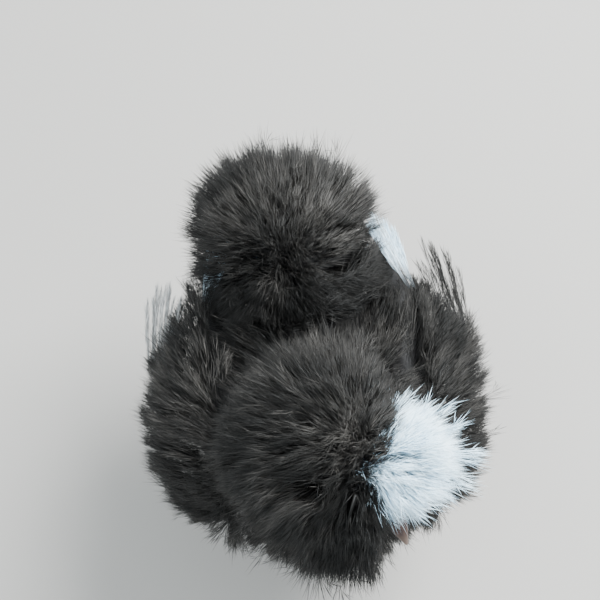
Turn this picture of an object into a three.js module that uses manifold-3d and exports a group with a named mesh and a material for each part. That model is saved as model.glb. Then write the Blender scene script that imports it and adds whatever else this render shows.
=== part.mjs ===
// A crested, bearded bantam hen with hair-like plumage, standing still, at life size in millimetres.
// The bird faces -Y and stands on z = 0. Its left side is towards +X. Each solid reaches out to the
// tips of the coat, as a museum's block model of a feathered bird does.
import * as THREE from "three";
import { mergeVertices } from "three/addons/utils/BufferGeometryUtils.js";
import Module from "manifold-3d";

// Driving dimensions
const BODY_WIDTH = 180; // over both folded wings, to the tips of the fluff
const TRUNK = { middle: [0, -5, 117], half: [76, 86, 63] };
const CREST = { middle: [8, -73, 207], half: [55, 52, 49] };
const BEAK_WAY = [0.5, -0.86, -0.05]; // from the middle of the crest to where it parts over the beak
const TAIL = { middle: [-9, 68, 169], half: [47, 46, 45] };
const HEAD_MIDDLE = [15, -68.4, 190.7]; // of the braincase
const HEAD_TURN = 23; // degrees, towards the bird's left
const HEAD_DIP = 12; // degrees, beak down
const HEAD_HALF = [14.6, 23, 15.5]; // across, along and up
const BEAK_REACH = 38; // from the middle of the braincase to the tip of the beak
const BEAK_LENGTH = 21;
const EYE_RADIUS = 6; // the whole eyeball
const EYE_PLACE = [10.4, 8.5, 2.5]; // sideways, forwards and up from the middle of the braincase
const STANCE = 27; // from the midline to the middle of each foot
const SHANK_RADIUS = 4.4;
const CLAW_LENGTH = 8.5;
const FLAT_DEPTH = 0.6; // how far each toe's sole is pressed flat by the floor
const GAP = 0.35; // between neighbouring solids

// Toes, from the hind toe round to the outer one. The fifth is the extra toe that this breed carries
// above the hind toe, curling up off the ground. A bearing is in degrees, outwards from straight ahead.
const TOES = [
  { name: "hind", bearing: 205, length: 17, radius: 3.1, rise: 0 },
  { name: "inner", bearing: -34, length: 30, radius: 3.5, rise: 0 },
  { name: "middle", bearing: 4, length: 39, radius: 3.7, rise: 0 },
  { name: "outer", bearing: 40, length: 32, radius: 3.4, rise: 0 },
  { name: "fifth", bearing: 190, length: 21, radius: 2.8, rise: 11 },
];

// The stiff feathers that stand out of a folded wing, as flat fans. lengths run from the inner edge out.
const FLIGHT = {
  width: 6,
  thickness: 1.4,
  from: [83, 12, 128],
  to: [71, 74, 138],
  lean: 0.35,
  lengths: [54, 61, 64, 58, 48],
};
const WORN = { left: 1, right: 0.8 }; // how much of the flight feathers' length is left on each wing
const PRIMARIES = {
  width: 4.4,
  thickness: 1.4,
  from: [48, 33, 163],
  to: [33, 80, 164],
  lean: 0.9,
  lengths: [34, 43, 46, 38],
};

// Materials
const matte = (color, roughness = 0.85) =>
  new THREE.MeshStandardMaterial({ color, roughness, metalness: 0 });
const BLACK_PLUMAGE = matte(0x2b2725);
const WHITE_PLUMAGE = matte(0xe6ebf0);
const GREY_PLUMAGE = matte(0x8b8784);
const FACE_SKIN = matte(0x241b22, 0.7);
const LEG_SKIN = matte(0x353a42, 0.65);
const EARLOBE_SKIN = matte(0x2f7f8c, 0.55);
const COMB_SKIN = matte(0x3a1c26, 0.6);
const BEAK_HORN = matte(0x6f4a3e, 0.4);
const CLAW_HORN = matte(0xa59c93, 0.45);
const EYE = matte(0x0b0908, 0.05);

const wasm = await Module();
wasm.setup();

const { lerp, clamp, degToRad } = THREE.MathUtils;
const vector = (p) => new THREE.Vector3(...p);
const bird = new THREE.Group();

// Adds a named solid to the bird, without the crumbs that cutting two faceted forms can leave.
function show(name, solid, material) {
  const [largest] = solid.decompose().sort((a, b) => b.volume() - a.volume());
  const { numProp, vertProperties, triVerts } = largest.getMesh();
  const points = new Float32Array((vertProperties.length / numProp) * 3);
  for (let i = 0; i * 3 < points.length; i++) {
    points.set(vertProperties.subarray(i * numProp, i * numProp + 3), i * 3);
  }
  const geometry = new THREE.BufferGeometry()
    .setAttribute("position", new THREE.BufferAttribute(points, 3))
    .setIndex(new THREE.BufferAttribute(triVerts, 1));
  geometry.computeVertexNormals();
  const mesh = new THREE.Mesh(geometry, material);
  mesh.name = name;
  bird.add(mesh);
}

// A geometry's bare skin, each point once.
function skinOf(geometry) {
  const bare = geometry.clone();
  bare.deleteAttribute("normal");
  bare.deleteAttribute("uv");
  return mergeVertices(bare, 1e-3);
}

// A closed geometry as a solid.
function solidOf(geometry) {
  const skin = skinOf(geometry);
  const vertProperties = skin.getAttribute("position").array;
  const triVerts = new Uint32Array(skin.index.array);
  return new wasm.Manifold(new wasm.Mesh({ numProp: 3, vertProperties, triVerts }));
}

// The room that a form needs: its shape with every point moved out along its normal by the gap.
function roomOf(geometry) {
  const skin = skinOf(geometry);
  skin.computeVertexNormals();
  const at = skin.getAttribute("position");
  const out = skin.getAttribute("normal");
  const p = new THREE.Vector3();
  const n = new THREE.Vector3();
  for (let i = 0; i < at.count; i++) {
    p.fromBufferAttribute(at, i).addScaledVector(n.fromBufferAttribute(out, i), GAP);
    at.setXYZ(i, p.x, p.y, p.z);
  }
  return solidOf(skin);
}

// Takes the other forms' rooms out of a solid, so that a gap is left between it and each of them.
const clear = (solid, ...others) => others.reduce((rest, other) => rest.subtract(roomOf(other)), solid);

// A ball with each point of its unit sphere moved by place(point). Its poles are on the Y axis.
function shaped(place, around, along) {
  const ball = new THREE.SphereGeometry(1, around, along);
  const at = ball.getAttribute("position");
  const p = new THREE.Vector3();
  for (let i = 0; i < at.count; i++) {
    place(p.fromBufferAttribute(at, i));
    at.setXYZ(i, p.x, p.y, p.z);
  }
  return ball;
}

const ellipsoid = ({ middle, half }, around, along) =>
  shaped((p) => p.multiply(vector(half)).add(vector(middle)), around, along);

// A rounded form along a curve through the given points. half(t) gives its half width across and its
// half height from t = 0 at the first point to 1 at the last, and fullness above 2 blunts its two ends.
function limb(points, half, { across = [1, 0, 0], fullness = 2.4, around = 14, along = 8 } = {}) {
  const curve = new THREE.CatmullRomCurve3(points.map(vector));
  const place = (p) => {
    const t = clamp((1 + p.y) / 2, 0, 1);
    const ring = Math.pow(Math.max(0, 1 - Math.pow(Math.abs(p.y), fullness)), 1 / fullness);
    const reach = Math.hypot(p.x, p.z) || 1;
    const [wide, high] = half(t);
    const tangent = curve.getTangentAt(t);
    const side = vector(across).projectOnPlane(tangent).normalize();
    const up = side.clone().cross(tangent);
    side.multiplyScalar((p.x / reach) * ring * wide);
    up.multiplyScalar((p.z / reach) * ring * high);
    curve.getPointAt(t, p).add(side).add(up);
  };
  return shaped(place, around, along);
}

// Eases from 0 to 1 as x goes from one value to the other, up or down.
function ramp(from, to, x) {
  const t = clamp((x - from) / (to - from), 0, 1);
  return t * t * (3 - 2 * t);
}

// Eases through the given values as t runs from 0 to 1.
function along(values) {
  const last = values.length - 1;
  return (t) => {
    const n = Math.min(Math.floor(t * last), last - 1);
    return lerp(values[n], values[n + 1], ramp(0, 1, t * last - n));
  };
}

function taper(wide, high = wide) {
  const across = along(wide);
  const up = along(high);
  return (t) => [across(t), up(t)];
}

// The head's own frame: +X to its left, -Y along its beak, +Z up, from the middle of the braincase.
const headFrame = new THREE.Matrix4()
  .makeRotationZ(degToRad(HEAD_TURN))
  .multiply(new THREE.Matrix4().makeRotationX(degToRad(HEAD_DIP)))
  .setPosition(...HEAD_MIDDLE);
const onHead = (geometry) => geometry.applyMatrix4(headFrame);

// Head: a narrow skull under a domed knob, low and slim in front of the eyes
function headForm() {
  const [wide, long, high] = HEAD_HALF;
  const place = (p) => {
    const front = ramp(0.1, 1, -p.y);
    const knob = 4 * Math.exp(-((p.y - 0.15) ** 2) / 0.16) * ramp(0.2, 0.9, p.z);
    const narrow = 1 - 0.42 * front;
    const low = 1 - 0.4 * front;
    p.set(p.x * wide * narrow, p.y * long, p.z * high * low - 3.2 * front + knob);
  };
  return onHead(shaped(place, 12, 9));
}

function eyeForm(side) {
  const [out, forward, up] = EYE_PLACE;
  const half = [EYE_RADIUS, EYE_RADIUS, EYE_RADIUS];
  return onHead(ellipsoid({ middle: [side * out, -forward, up], half }, 9, 6));
}

// The bill's upper half curves down to a blunt tip, over the lower one.
function upperBeakForm() {
  const root = BEAK_REACH - BEAK_LENGTH;
  const line = [[0, -root, -2.4], [0, -root - 11, -3.4], [0, -BEAK_REACH, -7.4]];
  return onHead(limb(line, taper([5.6, 4.1, 1.3], [4.2, 3.4, 1.2]), { fullness: 3, around: 9, along: 7 }));
}

function lowerBeakForm() {
  const root = BEAK_REACH - BEAK_LENGTH;
  const line = [[0, -root, -8.1], [0, -root - 9, -8.5], [0, 3 - BEAK_REACH, -8.9]];
  return onHead(limb(line, taper([4.6, 3.2, 1.2], [1.9, 1.6, 0.7]), { fullness: 3, around: 8, along: 6 }));
}

// A small cushion comb over the root of the beak, wider than it is long and lumpy on top
function combForm() {
  const half = [7, 5, 4.2];
  const middle = [0, -20.5, 5.4];
  const place = (p) => {
    p.z *= 1 + 0.1 * Math.cos(7 * p.x) * Math.cos(8 * p.y);
    p.multiply(vector(half)).add(vector(middle));
  };
  return onHead(shaped(place, 10, 6));
}

const earlobeForm = (side) =>
  onHead(ellipsoid({ middle: [side * 13.9, 1.5, -6.2], half: [1.7, 3.4, 4.6] }, 8, 5));

// The crest is a mop of hair-like feathers that springs from the knob. It hangs lower behind than
// over the face, and parts over the left side of the beak.
function crestForm() {
  const turn = degToRad(HEAD_TURN);
  const beakWay = vector(BEAK_WAY);
  const place = (p) => {
    const forward = p.x * Math.sin(turn) - p.y * Math.cos(turn);
    const hang = lerp(0.76, 0.24, ramp(-0.35, 0.45, forward));
    const reach = 1 - 0.24 * Math.exp(-(p.angleTo(beakWay) ** 2) / 0.27);
    p.z *= p.z < 0 ? hang : 1;
    p.multiplyScalar(reach).multiply(vector(CREST.half)).add(vector(CREST.middle));
  };
  return shaped(place, 17, 11);
}

// Beard and muffs puff out under the beak and over both cheeks as one ruff.
function beardForm() {
  const place = (p) => {
    const cheek = 1 + 0.12 * p.x * p.x;
    p.set(p.x * 31, p.y * 19, p.z * 18 * cheek).add(vector([0, -6, -21]));
  };
  return onHead(shaped(place, 14, 9));
}

// The trunk is fullest low at the breast, its rump is lifted, and its back dips between the wings.
function trunkForm() {
  const place = (p) => {
    const breast = 1 + 0.06 * ramp(0, 0.9, -p.y) * ramp(0.7, -0.5, p.z);
    const lift = 8 * ramp(-0.6, 1, p.y);
    const dip = Math.exp(-(p.x ** 2) / 0.3 - (p.y - 0.1) ** 2 / 0.16) * ramp(0.2, 0.9, p.z);
    p.z *= 1 - 0.16 * dip;
    p.multiplyScalar(breast).multiply(vector(TRUNK.half)).add(vector(TRUNK.middle));
    p.z += lift;
  };
  return shaped(place, 20, 13);
}

function neckForm() {
  const line = [[10, -62, 188], [8, -54, 168], [4, -38, 146], [2, -22, 128]];
  return limb(line, taper([26, 42, 54, 50], [24, 34, 42, 40]), { fullness: 2.6 });
}

// The back and the cushion of loose feathers that rises to the tail
function saddleForm() {
  const line = [[-2, 8, 138], [-4, 30, 152], [-7, 52, 164], [-9, 76, 168]];
  return limb(line, taper([34, 48, 46, 34], [24, 32, 34, 26]), { around: 14 });
}

// The tail is a round powder puff, a little fuller above and behind.
function tailForm() {
  const place = (p) => {
    const crown = 1 + 0.05 * ramp(0, 1, p.z) + 0.04 * ramp(0, 1, p.y);
    p.multiplyScalar(crown).multiply(vector(TAIL.half)).add(vector(TAIL.middle));
  };
  return shaped(place, 18, 11);
}

// The folded wing is a lens of fluff against the flank.
function wingForm(side) {
  const out = BODY_WIDTH / 2 - 30;
  const line = [
    [side * (out - 12), -74, 116],
    [side * out, -30, 118],
    [side * out, 22, 123],
    [side * (out - 11), 64, 134],
  ];
  return limb(line, taper([27, 31, 28, 16], [40, 50, 45, 24]), { across: [side, 0, 0], around: 14 });
}

// A fan of stiff feathers with separate ragged tips.
function fanForm({ lengths, width, thickness, from, to, lean }, side, share = 1) {
  const edge = (lengths.length * width) / 2;
  const outline = new THREE.Shape().moveTo(-edge * 0.7, 0);
  lengths.forEach((whole, n) => {
    const length = whole * share;
    const spread = 1 + 0.25 * (whole / Math.max(...lengths));
    const middle = ((n + 0.5) * width - edge) * spread;
    const half = width * 0.42 * spread;
    outline.lineTo(middle - half, length * 0.7);
    outline.lineTo(middle, length);
    outline.lineTo(middle + half, length * 0.7);
    if (n < lengths.length - 1) outline.lineTo(middle + (width / 2) * spread, length * 0.62);
  });
  outline.lineTo(edge * 0.7, 0).closePath();
  const blade = new THREE.ExtrudeGeometry(outline, { depth: thickness, bevelEnabled: false });
  blade.translate(0, 0, -thickness / 2);
  const mirrored = new THREE.Vector3(side, 1, 1);
  const start = vector(from).multiply(mirrored);
  const way = vector(to).multiply(mirrored).sub(start).normalize();
  const face = new THREE.Vector3(side * Math.cos(lean), 0, Math.sin(lean)).projectOnPlane(way).normalize();
  const across = way.clone().cross(face);
  return blade.applyMatrix4(new THREE.Matrix4().makeBasis(across, way, face).setPosition(start));
}

// Legs
function thighForm(side) {
  const place = (p) => {
    const low = ramp(0.1, -1, p.z);
    p.set(side * 30 + p.x * 33 * (1 - 0.3 * low), 8 + p.y * 44 * (1 - 0.28 * low), 76 + p.z * 39);
  };
  return shaped(place, 14, 9);
}

function shankForm(side) {
  const line = [[side * 25, 16, 62], [side * 26.5, 11, 40], [side * STANCE, 4, 20], [side * STANCE, -1, 5]];
  const half = taper([5.4, SHANK_RADIUS, SHANK_RADIUS, 7.4], [6, SHANK_RADIUS, SHANK_RADIUS + 0.4, 6.4]);
  return limb(line, half, { fullness: 4, around: 8 });
}

// A point of a toe at a distance from the middle of the foot and a height.
function toePoint(side, { bearing }, distance, height) {
  const turn = degToRad(bearing);
  return [side * (STANCE + Math.sin(turn) * distance), -1 - Math.cos(turn) * distance, height];
}

function toeForm(side, toe) {
  const { length, radius, rise } = toe;
  const line = [
    toePoint(side, toe, 2, 5 + rise * 0.7),
    toePoint(side, toe, length * 0.4, radius * 0.9 - FLAT_DEPTH + rise * 0.75),
    toePoint(side, toe, length * 0.75, radius * 0.8 - FLAT_DEPTH + rise * 0.95),
    toePoint(side, toe, length, radius * 0.76 - FLAT_DEPTH / 2 + rise * 1.25),
  ];
  const pads = (t) => radius * (1.02 - 0.26 * t + 0.07 * Math.cos(t * 6 * Math.PI));
  return limb(line, (t) => [pads(t), pads(t)], { across: [1, 1, 0], fullness: 5, around: 7, along: 6 });
}

function clawForm(side, toe) {
  const { length, radius, rise } = toe;
  const top = radius * 0.85 + rise * 1.25;
  const line = [
    toePoint(side, toe, length - 2, top),
    toePoint(side, toe, length + CLAW_LENGTH * 0.45, top + 0.5 + rise * 0.15),
    toePoint(side, toe, length + CLAW_LENGTH - 1, Math.max(0.9, top - 2.2 + rise * 0.3)),
  ];
  return limb(line, taper([1.9, 1.5, 0.5]), { across: [1, 1, 0], fullness: 3, around: 6, along: 4 });
}

// Short feathers stand out down the outer side of the shank, and over the outer and middle toes.
function shankPuffForm(side) {
  const place = (p) => {
    const flare = 1 + 0.25 * ramp(0.2, -0.9, p.z);
    p.set(side * 36 + p.x * 15 * flare, 6 + p.y * 16 * flare, 25 + p.z * 23);
  };
  return shaped(place, 8, 5);
}

const toePuffForm = (side) => ellipsoid({ middle: [side * 43, -14, 8.5], half: [17, 20, 7.6] }, 8, 5);

// Building the bird, each solid cut back from those that keep their whole shape
const head = headForm();
const crest = crestForm();
const beard = beardForm();
const neck = neckForm();
const trunk = trunkForm();
const saddle = saddleForm();
const tail = tailForm();
const comb = combForm();
const upperBeak = upperBeakForm();
const lowerBeak = lowerBeakForm();
const eyes = [eyeForm(1), eyeForm(-1)];
const earlobes = [earlobeForm(1), earlobeForm(-1)];
const faceParts = [comb, upperBeak, lowerBeak, ...eyes, ...earlobes];

["left", "right"].forEach((name, n) => {
  show(`eye_${name}`, solidOf(eyes[n]), EYE);
  show(`earlobe_${name}`, solidOf(earlobes[n]), EARLOBE_SKIN);
});
show("beak_upper", solidOf(upperBeak), BEAK_HORN);
show("beak_lower", clear(solidOf(lowerBeak), upperBeak), BEAK_HORN);
show("comb", clear(solidOf(comb), upperBeak), COMB_SKIN);
show("head", clear(solidOf(head), ...faceParts), FACE_SKIN);
show("crest", clear(solidOf(crest), head, ...faceParts), BLACK_PLUMAGE);
show("beard", clear(solidOf(beard), head, crest, ...faceParts), BLACK_PLUMAGE);
show("neck", clear(solidOf(neck), head, crest, beard, ...earlobes), BLACK_PLUMAGE);
show("trunk", clear(solidOf(trunk), neck, crest, beard), BLACK_PLUMAGE);
show("tail", clear(solidOf(tail), trunk), BLACK_PLUMAGE);
show("saddle", clear(solidOf(saddle), trunk, neck, tail, crest), BLACK_PLUMAGE);

const ground = solidOf(new THREE.BoxGeometry(400, 400, 40).translate(0, 0, -20));
for (const [name, side] of [["left", 1], ["right", -1]]) {
  const wing = wingForm(side);
  const flightColour = side > 0 ? BLACK_PLUMAGE : GREY_PLUMAGE;
  const body = [trunk, saddle, neck, tail];
  show(`wing_${name}`, clear(solidOf(wing), ...body), BLACK_PLUMAGE);
  show(`flight_${name}`, clear(solidOf(fanForm(FLIGHT, side, WORN[name])), wing, ...body), flightColour);
  show(`primaries_${name}`, clear(solidOf(fanForm(PRIMARIES, side)), wing, ...body), WHITE_PLUMAGE);

  const thigh = thighForm(side);
  const shank = shankForm(side);
  show(`thigh_${name}`, clear(solidOf(thigh), trunk, wing, shank, thighForm(-side)), BLACK_PLUMAGE);
  show(`shank_${name}`, clear(solidOf(shank), trunk).subtract(ground), LEG_SKIN);

  const toes = TOES.map((toe) => toeForm(side, toe));
  const claws = TOES.map((toe) => clawForm(side, toe));
  TOES.forEach((toe, n) => {
    const toeOnly = clear(solidOf(toes[n]), shank, claws[n], ...toes.slice(0, n));
    show(`toe_${toe.name}_${name}`, toeOnly.subtract(ground), LEG_SKIN);
    show(`claw_${toe.name}_${name}`, solidOf(claws[n]).subtract(ground), CLAW_HORN);
  });
  const foot = [shank, ...toes, ...claws];
  const shankPuff = shankPuffForm(side);
  const toePuff = toePuffForm(side);
  show(`shank_feathers_${name}`, clear(solidOf(shankPuff), thigh, trunk, ...foot), BLACK_PLUMAGE);
  show(`toe_feathers_${name}`, clear(solidOf(toePuff), shankPuff, ...foot), BLACK_PLUMAGE);
}

// The origin is on the floor under the middle of the bird's box.
const box = new THREE.Box3().setFromObject(bird);
const middle = box.getCenter(new THREE.Vector3());
bird.position.set(-middle.x, -middle.y, -box.min.z);

export default bird;
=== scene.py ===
"""A bearded silkie hen at life size: one skin under a coat of hair-like feathers, in metres."""

import math

import bmesh
import bpy
import numpy as np
from mathutils import Matrix, Vector
from mathutils.bvhtree import BVHTree
from mathutils.kdtree import KDTree


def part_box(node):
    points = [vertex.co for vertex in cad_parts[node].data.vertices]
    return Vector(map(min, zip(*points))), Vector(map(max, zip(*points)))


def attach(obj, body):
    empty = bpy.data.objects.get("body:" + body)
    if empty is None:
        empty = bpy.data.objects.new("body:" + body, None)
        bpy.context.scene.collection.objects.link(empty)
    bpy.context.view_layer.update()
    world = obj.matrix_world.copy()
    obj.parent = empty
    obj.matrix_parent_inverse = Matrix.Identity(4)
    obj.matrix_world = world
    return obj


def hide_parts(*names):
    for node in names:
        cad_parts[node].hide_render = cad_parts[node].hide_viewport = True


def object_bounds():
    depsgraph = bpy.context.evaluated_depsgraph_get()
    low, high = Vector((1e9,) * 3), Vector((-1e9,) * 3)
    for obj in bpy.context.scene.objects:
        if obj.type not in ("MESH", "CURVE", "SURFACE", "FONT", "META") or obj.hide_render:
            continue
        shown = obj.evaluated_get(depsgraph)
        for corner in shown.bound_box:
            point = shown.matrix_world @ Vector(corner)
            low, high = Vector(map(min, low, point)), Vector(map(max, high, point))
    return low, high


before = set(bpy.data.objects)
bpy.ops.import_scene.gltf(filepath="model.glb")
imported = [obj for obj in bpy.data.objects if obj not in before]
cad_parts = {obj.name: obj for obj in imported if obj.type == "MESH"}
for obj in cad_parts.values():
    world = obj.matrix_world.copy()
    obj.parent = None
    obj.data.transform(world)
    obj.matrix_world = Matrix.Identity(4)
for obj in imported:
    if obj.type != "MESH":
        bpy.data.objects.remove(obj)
cad_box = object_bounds()
MM = 0.001


# Camera: held above and in front of the bird, looking steeply down on the crest. Its place comes from
# one point of the crest that shows at a known point of the picture. The head's own frame is set up here too
VIEW_AZIMUTH = math.radians(-6)
VIEW_ELEVATION = math.radians(63)
VIEW_ANGLE = math.radians(31.6)
VIEW_DISTANCE = 450 * MM  # along the view, to the middle of the crest
PICTURE = 600
AIM = (10, -73, 207)  # a place in the middle of the crest, which shows at AIM_PIXEL
AIM_PIXEL = (360, 466)
HEAD_TURN = math.radians(23)
HEAD_DIP = math.radians(12)
HEAD_PLACE = (15, -68.4, 190.7)  # of the middle of the braincase
EYES_AHEAD, EYES_UP = 8.5, 2.5  # from the middle of the braincase


def middle_of(node):
    low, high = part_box(node)
    return (Vector(low) + Vector(high)) / 2


eye_places = [middle_of("eye_left"), middle_of("eye_right")]
head_turned = Matrix.Rotation(HEAD_TURN, 4, "Z") @ Matrix.Rotation(HEAD_DIP, 4, "X")
eyes_off = head_turned.to_3x3() @ Vector((0, -EYES_AHEAD, EYES_UP)) * MM
head_middle = (eye_places[0] + eye_places[1]) / 2 - eyes_off
head_frame = Matrix.Translation(head_middle) @ head_turned
bird_origin = head_middle - Vector(HEAD_PLACE) * MM


def on_head(x, y, z):
    """A place in the head's own frame, in millimetres: x to its left, y back from the beak, z up."""
    return head_frame @ (Vector((x, y, z)) * MM)


def body_point(x, y, z):
    """A place in the bird's own frame, in millimetres: x to its left, y back, z up from the floor."""
    return bird_origin + Vector((x, y, z)) * MM


view_right = Vector((math.cos(VIEW_AZIMUTH), math.sin(VIEW_AZIMUTH), 0))
view_back = Vector((
    math.sin(VIEW_AZIMUTH) * math.cos(VIEW_ELEVATION),
    -math.cos(VIEW_AZIMUTH) * math.cos(VIEW_ELEVATION),
    math.sin(VIEW_ELEVATION),
))
view_up = view_back.cross(view_right)
pixel = VIEW_DISTANCE * 2 * math.tan(VIEW_ANGLE / 2) / PICTURE  # its size at the crest
camera_data = bpy.data.cameras.new("camera")
camera_data.sensor_fit = "HORIZONTAL"
camera_data.angle = VIEW_ANGLE
camera_data.clip_start = 10 * MM
camera = bpy.data.objects.new("camera", camera_data)
across = (AIM_PIXEL[0] - PICTURE / 2) * pixel
down = (AIM_PIXEL[1] - PICTURE / 2) * pixel
camera_place = body_point(*AIM) - view_right * across + view_up * down + view_back * VIEW_DISTANCE
camera_turned = Matrix((view_right, view_up, view_back)).transposed().to_4x4()
camera.matrix_world = Matrix.Translation(camera_place) @ camera_turned
bpy.context.scene.collection.objects.link(camera)
bpy.context.scene.camera = camera


# Floor and light: a plain pale floor under a broad soft overcast, with one large lamp behind the bird
# for shape, and a faint one in front
class Value:
    """A shader socket that takes part in sums."""

    def __init__(self, look, socket):
        self.look = look
        self.socket = socket

    def _sum(self, operation, first, second):
        return self.look.node("ShaderNodeMath", [first, second], operation=operation)

    def __add__(self, other):
        return self._sum("ADD", self, other)

    def __radd__(self, other):
        return self._sum("ADD", other, self)

    def __sub__(self, other):
        return self._sum("SUBTRACT", self, other)

    def __rsub__(self, other):
        return self._sum("SUBTRACT", other, self)

    def __mul__(self, other):
        return self._sum("MULTIPLY", self, other)

    def __rmul__(self, other):
        return self._sum("MULTIPLY", other, self)

    def __pow__(self, other):
        return self._sum("POWER", self, other)


class Look:
    """A material that is put together from sums of values."""

    def __init__(self, name, **settings):
        self.material = bpy.data.materials.new(name)
        self.material.use_nodes = True
        self.tree = self.material.node_tree
        self.shader = self.tree.nodes["Principled BSDF"]
        for socket, value in settings.items():
            self.shader.inputs[socket.replace("_", " ").title().replace("Ior", "IOR")].default_value = value

    def node(self, kind, values=(), output=0, stops=None, **settings):
        made = self.tree.nodes.new(kind)
        for name, value in settings.items():
            setattr(made, name, value)
        if stops:
            ramp = made.color_ramp
            while len(ramp.elements) < len(stops):
                ramp.elements.new(0.5)
            for element, (place, colour) in zip(ramp.elements, stops):
                element.position = place
                element.color = (*colour, 1)
        pairs = values.items() if isinstance(values, dict) else enumerate(values)
        for key, value in pairs:
            if isinstance(value, Value):
                self.tree.links.new(value.socket, made.inputs[key])
            else:
                made.inputs[key].default_value = value
        return Value(self, made.outputs[output])

    def place(self):
        return self.node("ShaderNodeTexCoord", output="Object")

    def attribute(self, name):
        return self.node("ShaderNodeAttribute", attribute_name=name, output="Fac")

    def noise(self, scale, detail=3.0, roughness=0.55, place=None):
        values = {"Vector": place or self.place(), "Scale": scale, "Detail": detail, "Roughness": roughness}
        return self.node("ShaderNodeTexNoise", values)

    def between(self, value, low, high):
        values = {"Value": value, "From Min": low, "From Max": high}
        return self.node("ShaderNodeMapRange", values)

    def mix(self, amount, first, second):
        colours = [c if isinstance(c, Value) else (*c, 1) for c in (first, second)]
        values = {0: amount, 6: colours[0], 7: colours[1]}
        return self.node("ShaderNodeMix", values, output=2, data_type="RGBA")

    def feed(self, **sockets):
        for name, value in sockets.items():
            self.tree.links.new(value.socket, self.shader.inputs[name.replace("_", " ").title()])

    def bump(self, height, distance, strength=1.0):
        values = {"Height": height, "Distance": distance, "Strength": strength}
        self.feed(normal=self.node("ShaderNodeBump", values))


FLOOR_SIDE = 6.0
FLOOR_COLOUR = (0.27, 0.25, 0.232)
FLOOR_UNEVEN = 1.04  # how much lighter its lighter parts are
OVERCAST_COLOUR = (0.83, 0.94, 1.0)
OVERCAST_STRENGTH = 2.3

floor_look = Look("pale_floor", roughness=0.7)
floor_tone = floor_look.between(floor_look.noise(3.0), 0.2, 0.8)
floor_light = tuple(c * FLOOR_UNEVEN for c in FLOOR_COLOUR)
floor_look.feed(base_color=floor_look.mix(floor_tone, FLOOR_COLOUR, floor_light))
bpy.ops.mesh.primitive_plane_add(size=FLOOR_SIDE)
floor = bpy.context.object
floor.name = "floor"
floor.data.materials.append(floor_look.material)

world = bpy.data.worlds.new("overcast")
bpy.context.scene.world = world
world.use_nodes = True
overcast = world.node_tree.nodes["Background"]
overcast.inputs["Color"].default_value = (*OVERCAST_COLOUR, 1)
overcast.inputs["Strength"].default_value = OVERCAST_STRENGTH


def lamp(name, place, aim, size, power, colour):
    data = bpy.data.lights.new(name, "AREA")
    data.size = size
    data.energy = power
    data.color = colour
    made = bpy.data.objects.new(name, data)
    made.location = place
    made.rotation_euler = (Vector(aim) - Vector(place)).to_track_quat("-Z", "Y").to_euler()
    bpy.context.scene.collection.objects.link(made)


LAMP_AIM = (0, 0, 0.15)
lamp("window", (0.9, 0.5, 1.5), LAMP_AIM, 1.0, 155, (0.93, 0.98, 1.0))
lamp("sky", (-1.0, -0.6, 1.2), LAMP_AIM, 1.2, 12, (0.86, 0.94, 1.0))


# Skin: one hide over the whole bird, dark mulberry and finely wrinkled on the face, scaled on the
# slate shanks and toes, and thin over the flesh under the coat
HIDE_GRAIN = 0.65 * MM
FEATHERED_ABOVE = 62 * MM  # the height where the scaled shank goes into the thigh's feathers
FLESH_PARTS = (
    "head", "neck", "trunk", "saddle", "tail", "wing_left", "wing_right", "thigh_left", "thigh_right",
)
LEG_PARTS = tuple(
    f"{part}_{side}"
    for side in ("left", "right")
    for part in ("shank", "toe_hind", "toe_inner", "toe_middle", "toe_outer", "toe_fifth")
)


def mesh_object(name, vertices, faces, material=None):
    mesh = bpy.data.meshes.new(name)
    mesh.from_pydata([tuple(v) for v in vertices], [], [tuple(f) for f in faces])
    made = bpy.data.objects.new(name, mesh)
    bpy.context.scene.collection.objects.link(made)
    if material:
        mesh.materials.append(material)
    return made


def ball(parts, middle, half, turned=Matrix.Identity(4), rings=24, steps=32):
    """Adds a closed ellipsoid to a list of parts."""
    vertices = [(0, 0, 1)]
    for ring in range(1, rings):
        tilt = math.pi * ring / rings
        for s in range(steps):
            turn = math.tau * s / steps
            vertices.append((
                math.sin(tilt) * math.cos(turn),
                math.sin(tilt) * math.sin(turn),
                math.cos(tilt),
            ))
    vertices.append((0, 0, -1))
    last = len(vertices) - 1
    faces = [(0, 1 + s, 1 + (s + 1) % steps) for s in range(steps)]
    for ring in range(rings - 2):
        start = 1 + ring * steps
        for s in range(steps):
            right = (s + 1) % steps
            faces.append((start + s, start + steps + s, start + steps + right, start + right))
    faces += [(last, last - 1 - s, last - 1 - (s + 1) % steps) for s in range(steps)]
    place = Matrix.Translation(middle) @ turned @ Matrix.Diagonal((*half, 1))
    parts.append(([place @ Vector(v) for v in vertices], faces))


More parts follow.
